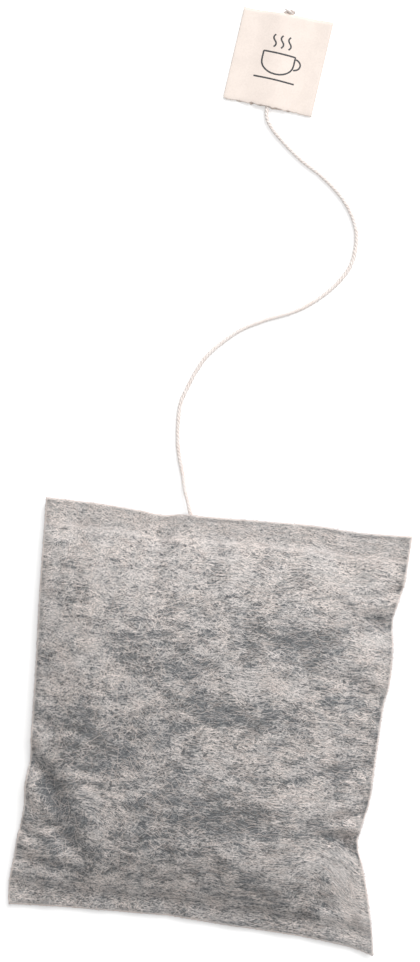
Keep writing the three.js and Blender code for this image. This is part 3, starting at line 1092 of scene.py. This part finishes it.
# Millimetres by which the back's pattern of fibres lies away from the front's
BACK_PATTERN_SHIFT = (300, 200, 0)


class BagShape:
    """The filled bag as two grids of points, back and front, with its masks."""

    def __init__(self, settings):
        rays, outline = cad_surface()
        low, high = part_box("filter_bag")
        self.size = high - low
        self.cloth_edge = settings.cloth_edge
        self.stride = settings.sim_stride
        self.columns = self.stride * round(self.size.x / settings.cell / self.stride)
        self.rows = self.stride * round(self.size.y / settings.cell / self.stride)
        self.plan = plan_grid(outline, self.columns, self.rows)
        back, front = (soften(heights, SOLID_SOFTENING) for heights in ray_heights(rays, self.plan))
        self.across = np.linspace(-1, 1, self.columns + 1)[None, :] * np.ones((self.rows + 1, 1))
        share = np.linspace(0, 1, self.rows + 1)[:, None] * np.ones((1, self.columns + 1))
        self.from_bottom = share * self.size.y
        self.from_top = (1 - share) * self.size.y
        self.from_side = (1 - np.abs(self.across)) * self.size.x / 2
        self.seal = np.maximum(
            self.within(self.from_top, settings.top_seal),
            self.within(self.from_bottom, settings.bottom_seal),
        )
        thick = np.maximum(front - back, settings.cloth_edge)
        edge = 1 - smooth(thick, CAD_CLOTH_EDGE, THINNED_UP_TO)
        thick = thick - (CAD_CLOTH_EDGE - settings.cloth_edge) * edge
        self.back = back
        self.front = back + np.maximum(thick, settings.cloth_edge)
        self.full = smooth(thick, *FILLED_RANGE)

    def within(self, distance, band):
        """1 inside a sealed band and 0 past it."""
        return 1 - smooth(distance, band - SEAL_BEFORE, band + SEAL_PAST)

    def raise_string_ridge(self, diameter):
        """The string between the two layers of the top seal lifts both."""
        exit_point = string_exit()
        away = np.abs(self.plan[:, :, 0] - exit_point.x)
        near = (1 - smooth(away, *RIDGE_ACROSS)) * (1 - smooth(self.from_top, *RIDGE_ALONG))
        middle = (self.front + self.back) / 2
        half = (self.front - self.back) / 2 + near * diameter * RIDGE_SHARE
        middle = middle + near * (exit_point.z - middle)
        self.back = np.maximum(middle - half, 0)
        self.front = middle + half

    def swell(self, slack, furthest=1.5 * MM):
        """The simulated cloth's bulges and wrinkles, at most as far as given from the pressed shape."""
        step = self.stride
        grids = [np.dstack([self.plan, z])[::step, ::step] for z in (self.front, self.back)]
        rows, columns = grids[0].shape[:2]
        start = np.concatenate([grid.reshape(-1, 3) for grid in grids])
        held = np.maximum(self.edge(), self.seal)[::step, ::step].ravel()
        moved = simulate_cloth(start, grid_faces(rows, columns), np.tile(held, 2), slack)
        shift = (moved - start)[:, 2]
        shift = np.clip(shift, -furthest, furthest).reshape(2, rows, columns)
        fine = (refine_grid(one, self.rows + 1, self.columns + 1) for one in shift)
        front, back = (soften(one, SWELL_SOFTENING) for one in fine)
        self.front = self.front + front
        self.back = np.maximum(self.back + back, 0)

    def crease(self):
        """The folds that the photograph shows in the front."""
        low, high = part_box("filter_bag")
        depth = fold_depths(self.plan, (low + high) / 2)
        room = FOLD_LIMIT * np.maximum(self.front - self.back - self.cloth_edge, 0)
        depth = np.minimum(depth, room)
        self.front = self.front - depth
        self.folded = np.maximum(depth, 0)

    def press_seals(self):
        """Slight waves in the sealed bands."""
        wave = noise_grid(self.plan, *SEAL_WAVES)
        self.front = self.front + self.seal * wave
        self.back = np.maximum(self.back + self.seal * wave, 0)

    def settle_coffee(self):
        """Shallow lumps where ground coffee presses on the cloth."""
        for lumps in COFFEE_LUMPS:
            self.front = self.front + self.full * noise_grid(self.plan, *lumps)

    def lap_back(self):
        """The lap seam down the back, a second layer with one free edge."""
        across = self.plan[:, :, 0]
        far = SEAM + SEAM_WIDTH
        step = smooth(across, SEAM, SEAM + SEAM_STEP) - smooth(across, far, far + SEAM_STEP)
        self.back = self.back + SEAM_THICKNESS * (1 - step) * self.full

    def places(self):
        """Each point's place in millimetres from the bag's middle, on the flat cloth."""
        return self.across * self.size.x / 2 / MM, (self.from_bottom - self.size.y / 2) / MM

    def coffee(self):
        """How much the coffee shows through the cloth, with painted shade added in the folds and on the
        bottom seal: most below the middle, in the folds and under its drifts, least in the seals."""
        # The high values on the bottom seal are painted shade there, not coffee
        along = np.interp(self.from_bottom / self.size.y, *COFFEE_AND_SHADE_BY_LENGTH)
        shown = along * (SIDE_COFFEE + (1 - SIDE_COFFEE) * smooth(self.from_side, 0, SIDE_REACH))
        x, y = self.places()
        for (across, up), (half_width, half_height), more in COFFEE_DRIFTS:
            away = ((x - across) / half_width) ** 2 + ((y - up) / half_height) ** 2
            shown = shown + more * np.exp(-away)
        # The folds darken the cloth as painted shade, as well as by pressing it on the coffee
        return shown + FOLD_COFFEE_AND_SHADE * self.folded / MM

    def inset(self):
        """Distance from the outline in millimetres."""
        return np.minimum(self.from_side, np.minimum(self.from_bottom, self.from_top)) / MM

    def pressed(self, top_seal):
        """The line that the sealing bar leaves at the inner edge of the top seal."""
        return np.exp(-(((self.from_top - top_seal) / PRESSED_WIDTH) ** 2))

    def sweep(self):
        """Angle by which the fibres turn away from the width."""
        x, y = self.places()
        turned = np.zeros_like(x)
        for (across, up), reach, degrees in SWEEPS:
            away = np.hypot(x - across, y - up) / reach
            turned = turned + math.radians(degrees) * np.exp(-(away ** 2))
        return turned

    def combed(self):
        """Where the fibres lie the same way: towards the right, and less towards the left."""
        return smooth(self.across, *COMBED_RANGE)

    def edge(self):
        """1 on the outline and 0 inside it."""
        inside = np.zeros((self.rows + 1, self.columns + 1))
        inside[[0, -1]] = 1
        inside[:, [0, -1]] = 1
        return inside

    def cloth_place(self):
        """Place of each point on the flat cloth in millimetres, turned back where the fibres turn,
        front then back."""
        x, y = self.places()
        for (across, up), reach, degrees in SWEEPS:
            right, above = x - across, y - up
            turn = math.radians(-degrees) * np.exp(-((np.hypot(right, above) / reach) ** 2))
            x = across + right * np.cos(turn) - above * np.sin(turn)
            y = up + right * np.sin(turn) + above * np.cos(turn)
        front = np.stack([x, y, np.zeros_like(x)], axis=-1).reshape(-1, 3)
        return np.concatenate([front, front + BACK_PATTERN_SHIFT])

    def mesh(self):
        """Points and faces of the closed bag, with its rim between the two grids."""
        front = np.dstack([self.plan, self.front]).reshape(-1, 3)
        back = np.dstack([self.plan, self.back]).reshape(-1, 3)
        return np.concatenate([front, back]), grid_faces(self.rows + 1, self.columns + 1)


LINE_INPUTS = {
    "Turn": 0.0, "Length": 4.0, "Spacing": 0.6, "Width": 0.2, "Cover": 1.0, "Seed": 0.0,
}
# Where a fibre's line fades out: across it in half widths, and along it in cells
LINE_EDGE = (0.6, 1.1, 1.0, 0.0)
LINE_ENDS = (0.34, 0.5, 1.0, 0.0)
# Brightness of the faintest fibre
LEAST_BRIGHT = 0.4


def fibre_group():
    """Node group: short straight fibres of one direction, each through a cell of a stretched
    cell pattern, as lines of up to 1 on 0. Lengths are in the vector's unit, and Cover is the share
    of the cells that hold a fibre."""
    group = bpy.data.node_groups.new("Fibre Lines", "ShaderNodeTree")
    add_socket(group, "Vector", "INPUT", "NodeSocketVector")
    for name, default in LINE_INPUTS.items():
        add_socket(group, name, "INPUT", "NodeSocketFloat", default)
    add_socket(group, "Lines", "OUTPUT", "NodeSocketFloat")
    given = group.nodes.new("NodeGroupInput").outputs
    result = group.nodes.new("NodeGroupOutput")
    inputs = {"Vector": given["Vector"], "Angle": given["Turn"]}
    turned = add_node(group, "ShaderNodeVectorRotate", inputs, rotation_type="Z_AXIS").outputs[0]
    parts = add_node(group, "ShaderNodeSeparateXYZ", {0: turned}).outputs
    inputs = {}
    for axis, size in {"X": "Length", "Y": "Spacing"}.items():
        cells_away = math_node(group, "DIVIDE", parts[axis], given[size])
        inputs[axis] = math_node(group, "ADD", cells_away, given["Seed"])
    place = add_node(group, "ShaderNodeCombineXYZ", inputs).outputs[0]
    inputs = {"Vector": place, "Scale": 1.0}
    cells = add_node(group, "ShaderNodeTexVoronoi", inputs, voronoi_dimensions="2D").outputs
    away = vector_math(group, "SUBTRACT", place, cells["Position"])
    away = add_node(group, "ShaderNodeSeparateXYZ", {0: away}).outputs
    off_line = product(group, math_node(group, "ABSOLUTE", away["Y"]), given["Spacing"])
    half_width = product(group, given["Width"], 0.5)
    line = stretch_range(group, math_node(group, "DIVIDE", off_line, half_width), *LINE_EDGE)
    ends = stretch_range(group, math_node(group, "ABSOLUTE", away["X"]), *LINE_ENDS)
    chance = add_node(group, "ShaderNodeSeparateColor", {0: cells["Color"]}).outputs
    kept = math_node(group, "LESS_THAN", chance[0], given["Cover"])
    bright = product(group, chance[1], 1 - LEAST_BRIGHT)
    bright = math_node(group, "ADD", bright, LEAST_BRIGHT)
    group.links.new(product(group, line, ends, bright, kept), result.inputs["Lines"])
    return group


# Layers of fibres in the cloth: turn in degrees, length, spacing and width in millimetres, and the
# share of their places that is filled in the curly left and in the combed right
FIBRE_LAYERS = [
    (2, 3.4, 0.36, 0.16, 0.5, 0.95),
    (-9, 3.0, 0.40, 0.16, 0.6, 0.85),
    (15, 2.8, 0.42, 0.15, 0.7, 0.65),
    (-31, 2.4, 0.44, 0.15, 0.75, 0.4),
    (44, 2.2, 0.48, 0.15, 0.75, 0.25),
    (-66, 2.0, 0.52, 0.14, 0.7, 0.15),
]
# Layers of finer fibres deeper in the cloth, which the coffee between them darkens
DEEP_LAYERS = [
    (7, 1.7, 0.27, 0.13, 0.7, 0.9),
    (-38, 1.3, 0.3, 0.13, 0.8, 0.5),
]
# Scale and reach of the bends of a web's fibres, of all its layers and of every other one, and
# how far apart the patterns of two layers lie
WEB_BENDS = (0.8, 0.55)
LAYER_BENDS = ((0.1, 5.0), (0.28, 2.6))
LAYER_SEED_STEP = 3.7
# Tints of the fibres' colour, where they are cooler, matted together and sunk into the coffee, and
# of the coffee's colour, where it is bluer and where it glints
COOL_FIBRES = (0.93, 0.96, 0.98)
MATTED_FIBRES = (0.62, 0.665, 0.68)
SUNK_FIBRES = (0.37, 0.425, 0.455)
BLUE_COFFEE = (0.92, 1.0, 1.1)
GLINTING_COFFEE = (1.55, 1.75, 1.9)
# Noises over the cloth: scale, detail, roughness and stretch along X
PATCHES = (0.085, 3.0, 0.6, 1.6)
STREAKS = (0.42, 3.0, 0.6, 2.2)
GRAINS = (2.4, 2.0, 0.6, 1.8)
FLECKS = (3.6, 2.0, 0.6, 1.5)
WARMTH = (0.14, 2.0, 0.55)
# Scale and reach of the bends of the grains
GRAIN_WANDER = (0.2, 2.5)
# How full the cloth is: share of the patches in it, how far the seals even it out and to what
# value, and what the coffee, with the painted shade in its mask, takes from it
PATCH_SHARE = 0.4
SEAL_CALM = 0.75
SEAL_COVER = 0.48
COFFEE_AND_SHADE_STRENGTH = 0.18
# Ranges of those values over which something starts and ends, and how strong it is at either end
WEB_COVER = (0.2, 0.46, 0.3, 1.0)
WEB_STRENGTH = (0.2, 0.42, 0.5, 1.0)
WEB_BREAKS = (0.3, 0.56, 0.55, 1.0)
WARM_RANGE = (0.42, 0.58)
GLINTS = (0.42, 0.62)
HAZE = (0.38, 0.485, 0.0, 0.7)
DARK_SPECKS = (0.34, 0.47, 0.7, 0.0)
# The same by distance from the outline in millimetres, and where streaks break the shade
SHADE_START = (0.25, 0.6)
SHADE_END = (0.8, 1.5, 0.45, 0.0)
SHADE_BREAKS = (0.4, 0.6, 1.0, 0.1)
PALE_RIM = (0.1, 0.45, 0.9, 0.0)
# How strong the deeper fibres and the pressed line are, and distance and strength of the bumps
DEEP_STRENGTH = 0.75
PRESSED_STRENGTH = 0.4
CLOTH_RELIEF = (0.12 * MM, 0.5)
# Tints of the loose fibres
PALE_STRAND = 0.84
GREY_STRAND = 0.36


def wander(tree, vector, scale, reach):
    """The vector moved about by smooth noise, so straight lines on it bend."""
    drift = noise_node(tree, vector, scale, detail=1.0, output="Color")
    centred = vector_math(tree, "SUBTRACT", drift, (0.5, 0.5, 0.5))
    return vector_math(tree, "ADD", vector_math(tree, "SCALE", centred, scale=reach), vector)


def fibre_web(tree, vector, combed, layers, dense):
    """Layers of fibres over each other, more of them where dense is larger."""
    lines_group = bpy.data.node_groups.get("Fibre Lines") or fibre_group()
    vector = wander(tree, vector, *WEB_BENDS)
    bent = [wander(tree, vector, *bends) for bends in LAYER_BENDS]
    web = None
    for i, (turn, length, spacing, width, curly_cover, combed_cover) in enumerate(layers):
        cover = product(tree, mix_values(tree, combed, curly_cover, combed_cover), dense)
        layer = add_node(tree, "ShaderNodeGroup", node_tree=lines_group)
        constants = (math.radians(turn), length, spacing, width)
        for name, value in zip(("Turn", "Length", "Spacing", "Width"), constants):
            layer.inputs[name].default_value = value
        layer.inputs["Seed"].default_value = LAYER_SEED_STEP * i
        tree.links.new(bent[i % len(bent)], layer.inputs["Vector"])
        tree.links.new(cover, layer.inputs["Cover"])
        lines = layer.outputs["Lines"]
        web = lines if web is None else math_node(tree, "MAXIMUM", web, lines)
    return web


def coffee_tones(tree, settings, warm, flecks, deep):
    """The dark coffee under the fibres, bluer or browner, with glints and sunken fibres."""
    coffee = settings.coffee_colour
    dark = mix_colours(tree, warm, tinted(coffee, BLUE_COFFEE), tinted(coffee))
    dark = mix_colours(tree, stretch_range(tree, flecks, *GLINTS), dark, tinted(coffee, GLINTING_COFFEE))
    sunk = tinted(settings.fibre_colour, SUNK_FIBRES)
    return mix_colours(tree, product(tree, deep, DEEP_STRENGTH), dark, sunk)


def rim_tones(tree, mixed, pale, dark, inset, streaks):
    """The cloth with a broken shade just inside its outline and a pale rim on it."""
    shadow = product(
        tree,
        stretch_range(tree, inset, *SHADE_START),
        stretch_range(tree, inset, *SHADE_END),
        stretch_range(tree, streaks, *SHADE_BREAKS),
    )
    mixed = mix_colours(tree, shadow, mixed, dark)
    return mix_colours(tree, stretch_range(tree, inset, *PALE_RIM), mixed, pale)


def cloth_material(settings):
    """Non-woven cloth: layers of pale fibres over coffee that shows dark between them."""
    material, tree, shader = new_material("filter_cloth", Roughness=0.9, Sheen_Weight=0.1)
    cloth = surface_value(tree, "cloth_place", "Vector")
    masks = ("coffee", "combed", "inset", "pressed", "sealed")
    coffee, combed, inset, pressed, sealed = (surface_value(tree, name) for name in masks)
    patches = noise_node(tree, cloth, *PATCHES)
    streaks = noise_node(tree, cloth, *STREAKS)
    grains = noise_node(tree, wander(tree, cloth, *GRAIN_WANDER), *GRAINS)
    flecks = noise_node(tree, cloth, *FLECKS)
    lumps = weigh(tree, patches, PATCH_SHARE, streaks, 1 - PATCH_SHARE)
    lumps = mix_values(tree, product(tree, sealed, SEAL_CALM), lumps, SEAL_COVER)
    # The coffee mask also carries painted shade in the folds and on the bottom seal
    filled = math_node(tree, "SUBTRACT", lumps, product(tree, coffee, COFFEE_AND_SHADE_STRENGTH))
    web = product(
        tree,
        fibre_web(tree, cloth, combed, FIBRE_LAYERS, stretch_range(tree, filled, *WEB_COVER)),
        stretch_range(tree, grains, *WEB_BREAKS),
        stretch_range(tree, filled, *WEB_STRENGTH),
    )
    deep = fibre_web(tree, cloth, combed, DEEP_LAYERS, 1.0)
    fibre = settings.fibre_colour
    warm = stretch_range(tree, noise_node(tree, cloth, *WARMTH), *WARM_RANGE)
    pale = mix_colours(tree, warm, tinted(fibre, COOL_FIBRES), tinted(fibre))
    dark = coffee_tones(tree, settings, warm, flecks, deep)
    haze = stretch_range(tree, weigh(tree, filled, 0.5, grains, 0.5), *HAZE)
    under = mix_colours(tree, haze, dark, tinted(fibre, MATTED_FIBRES))
    mixed = mix_colours(tree, web, under, pale)
    mixed = mix_colours(tree, stretch_range(tree, flecks, *DARK_SPECKS), mixed, dark)
    mixed = mix_colours(tree, product(tree, pressed, PRESSED_STRENGTH), mixed, pale)
    mixed = rim_tones(tree, mixed, pale, dark, inset, streaks)
    tree.links.new(mixed, shader.inputs["Base Color"])
    add_relief(tree, shader, grains, *CLOTH_RELIEF)
    return material


def strand_material(settings):
    """Single fibres: the cloth's colour, some paler and some greyer."""
    material, tree, shader = new_material("loose_fibres", Roughness=0.85)
    pale = tinted(settings.fibre_colour, PALE_STRAND)
    grey = tinted(settings.fibre_colour, GREY_STRAND)
    mixed = mix_colours(tree, surface_value(tree, "tone"), grey, pale)
    tree.links.new(mixed, shader.inputs["Base Color"])
    return material


# Loose fibres on the bag's faces, and the ones that stand out of its edges
FACE_FIBRES = {"Density": 0.36e6, "Length": 2.2 * MM, "Width": 0.075 * MM, "Curl": 1.2 * MM}
EDGE_FIBRES = {
    "Density": 5e6, "Length": 0.6 * MM, "Width": 0.06 * MM, "Curl": 0.4 * MM, "Rise": 1.0,
}


class STEEPBAG_OT_bag(bpy.types.Operator):
    """Add the filled and sealed bag of filter cloth"""

    bl_idname = "steepbag.bag"
    bl_label = "Add Bag"

    def execute(self, context):
        settings = context.scene.steepbag_bag
        shape = BagShape(settings)
        shape.swell(settings.slack)
        shape.crease()
        shape.press_seals()
        shape.settle_coffee()
        shape.lap_back()
        shape.raise_string_ridge(context.scene.steepbag_string.diameter)
        vertices, faces = shape.mesh()
        bag = finish_piece("cloth_bag", vertices, faces, cloth_material(settings))
        masks = {
            # The coffee mask holds painted shade in the folds and on the bottom seal as well as coffee
            "coffee": shape.coffee(),
            "combed": shape.combed(),
            "sweep": shape.sweep(),
            "inset": shape.inset(),
            "pressed": shape.pressed(settings.top_seal),
            "sealed": shape.seal,
        }
        for name, values in masks.items():
            made = bag.data.attributes.new(name, "FLOAT", "POINT")
            made.data.foreach_set("value", np.tile(values.ravel(), 2).astype(np.float32))
        made = bag.data.attributes.new("cloth_place", "FLOAT_VECTOR", "POINT")
        made.data.foreach_set("vector", shape.cloth_place().astype(np.float32).ravel())
        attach(bag, "root")
        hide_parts("filter_bag")
        front = np.repeat([1.0, 0.0], len(vertices) // 2)
        edge = np.tile(shape.edge().ravel(), 2)
        material = strand_material(settings)
        for name, sown, sizes, seed in (
            ("front_fibres", front, FACE_FIBRES, 3),
            ("back_fibres", 1 - front, FACE_FIBRES, 5),
            ("edge_fibres", edge, EDGE_FIBRES, 8),
        ):
            piece = strew_fibres(name, bag.data, sown, material, **sizes, Seed=seed)
            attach(piece, "root")
        return {"FINISHED"}


# The stage in metres: the floor, its glow to the camera by distance from the bag, and the lamp
WHITE = (1, 1, 1, 1)
FLOOR_COLOUR = (0.9, 0.9, 0.9, 1)
FLOOR_HALF = 3.0
FLOOR_HEIGHT = -0.15 * MM
FLOOR_GLOW = (0.3, 1.2, 0.42, 0.95)
LAMP_PLACE = Vector((0.42, 0.85, 0.95))
LAMP_AIM = Vector((0, 0.03, 0))
LAMP_SIZE = 1.1


def floor_material():
    """White floor that keeps the object's shadow: plain diffuse, with a glow that only the camera
    and mirrored or refracted rays see, and that grows away from the bag."""
    material = bpy.data.materials.new("floor")
    material.use_nodes = True
    tree = material.node_tree
    tree.nodes.clear()
    output = add_node(tree, "ShaderNodeOutputMaterial")
    matt = add_node(tree, "ShaderNodeBsdfDiffuse", {"Color": FLOOR_COLOUR})
    path = add_node(tree, "ShaderNodeLightPath").outputs
    seen = math_node(tree, "MAXIMUM", path["Is Camera Ray"], path["Is Glossy Ray"])
    seen = math_node(tree, "MAXIMUM", seen, path["Is Transmission Ray"])
    place = add_node(tree, "ShaderNodeTexCoord").outputs["Object"]
    away = add_node(tree, "ShaderNodeVectorMath", {0: place}, operation="LENGTH").outputs["Value"]
    strength = product(tree, seen, stretch_range(tree, away, *FLOOR_GLOW))
    glow = add_node(tree, "ShaderNodeEmission", {"Color": WHITE, "Strength": strength})
    both = add_node(tree, "ShaderNodeAddShader", {0: matt.outputs[0], 1: glow.outputs[0]})
    tree.links.new(both.outputs[0], output.inputs["Surface"])
    return material


class STEEPBAG_OT_stage(bpy.types.Operator):
    """Add the floor, the sky light and the large soft lamp"""

    bl_idname = "steepbag.stage"
    bl_label = "Add Stage"

    def execute(self, context):
        settings = context.scene.steepbag_stage
        sides = ((-1, -1), (1, -1), (1, 1), (-1, 1))
        corners = [(FLOOR_HALF * x, FLOOR_HALF * y, FLOOR_HEIGHT) for x, y in sides]
        floor = finish_piece("floor", corners, [(0, 1, 2, 3)], floor_material(), False)
        world = bpy.data.worlds.new("sky")
        world.use_nodes = True
        backdrop = world.node_tree.nodes["Background"]
        backdrop.inputs["Color"].default_value = WHITE
        path = add_node(world.node_tree, "ShaderNodeLightPath").outputs
        strength = mix_values(world.node_tree, path["Is Camera Ray"], settings.sky, 1.0)
        world.node_tree.links.new(strength, backdrop.inputs["Strength"])
        context.scene.world = world
        lamp = bpy.data.lights.new("window", "AREA")
        lamp.energy = settings.key
        lamp.shape = "DISK"
        lamp.size = LAMP_SIZE
        holder = bpy.data.objects.new("window", lamp)
        holder.location = LAMP_PLACE
        aim = LAMP_AIM - LAMP_PLACE
        holder.rotation_euler = aim.to_track_quat("-Z", "Y").to_euler()
        context.scene.collection.objects.link(holder)
        context.scene.view_settings.view_transform = "Standard"
        return {"FINISHED"}


class STEEPBAG_PT_panel(bpy.types.Panel):
    """Panel of the steeping bag's steps, in the 3D view's sidebar"""

    bl_label = "Steeping Bag"
    bl_idname = "STEEPBAG_PT_panel"
    bl_space_type = "VIEW_3D"
    bl_region_type = "UI"
    bl_category = "Steeping Bag"

    def draw(self, context):
        for name in STEPS:
            self.layout.operator("steepbag." + name)


STEPS = ("camera", "tag", "string", "bag", "stage")
GROUPS = {
    "steepbag_bag": BagSettings,
    "steepbag_string": StringSettings,
    "steepbag_tag": TagSettings,
    "steepbag_stage": StageSettings,
}
CLASSES = (
    *GROUPS.values(),
    STEEPBAG_OT_camera,
    STEEPBAG_OT_tag,
    STEEPBAG_OT_string,
    STEEPBAG_OT_bag,
    STEEPBAG_OT_stage,
    STEEPBAG_PT_panel,
)


def register():
    """Makes the classes and their settings known."""
    for made in CLASSES:
        bpy.utils.register_class(made)
    for name, group in GROUPS.items():
        setattr(bpy.types.Scene, name, bpy.props.PointerProperty(type=group))


def unregister():
    """Takes the settings and the classes away again."""
    for name in GROUPS:
        delattr(bpy.types.Scene, name)
    for made in reversed(CLASSES):
        bpy.utils.unregister_class(made)


def main():
    """Builds everything in order."""
    register()
    for name in STEPS:
        getattr(bpy.ops.steepbag, name)()


if __name__ == "__main__":
    main()
